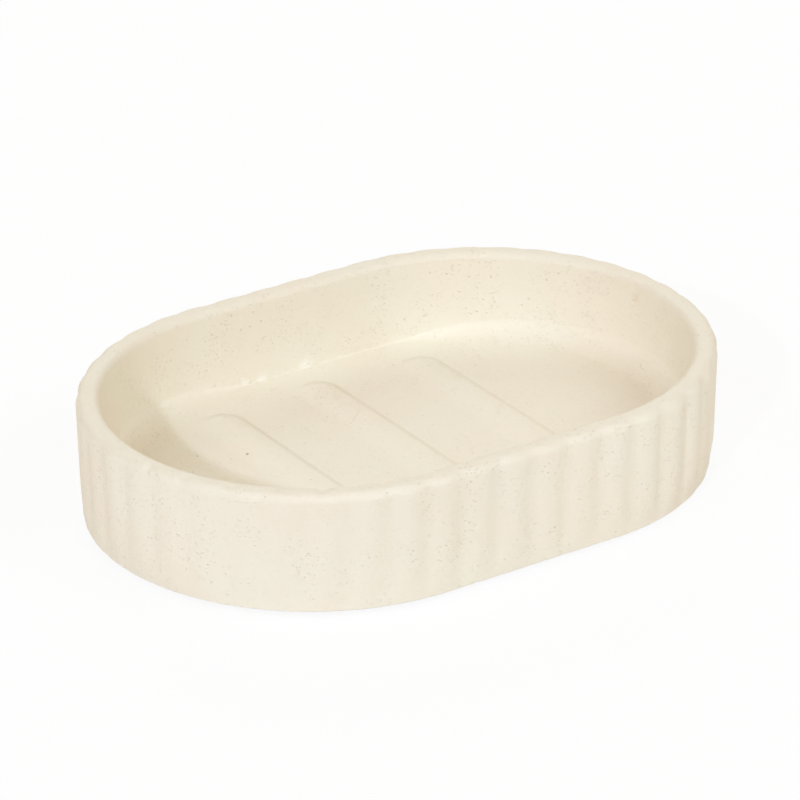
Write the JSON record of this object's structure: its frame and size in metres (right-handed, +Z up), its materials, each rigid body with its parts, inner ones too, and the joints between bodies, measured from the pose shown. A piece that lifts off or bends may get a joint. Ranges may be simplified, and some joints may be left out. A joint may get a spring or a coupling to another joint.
{
  "type": "soap dish",
  "caption": "Oval cast soap dish with a reeded outside wall, rounded lip, coved well and low ridges across the floor, standing on bonded non-slip pads.",
  "frame": {"origin": "under the middle of the dish, on the surface that the pads stand on", "axes": "+X along the dish, +Y across it, +Z up out of the well"},
  "size_m": [0.1398, 0.098, 0.0275],
  "materials": {
    "cast_stone": "matte",
    "pad_rubber": "matte",
    "adhesive": "satin"
  },
  "bodies": {
    "root": {"dish_body": "cast_stone", "foot_pad_front_left": "pad_rubber", "foot_pad_front_right": "pad_rubber", "foot_pad_rear_left": "pad_rubber", "foot_pad_rear_right": "pad_rubber", "adhesive_disc_front_left": "adhesive", "adhesive_disc_front_right": "adhesive", "adhesive_disc_rear_left": "adhesive", "adhesive_disc_rear_right": "adhesive"}
  },
  "joints": []
}
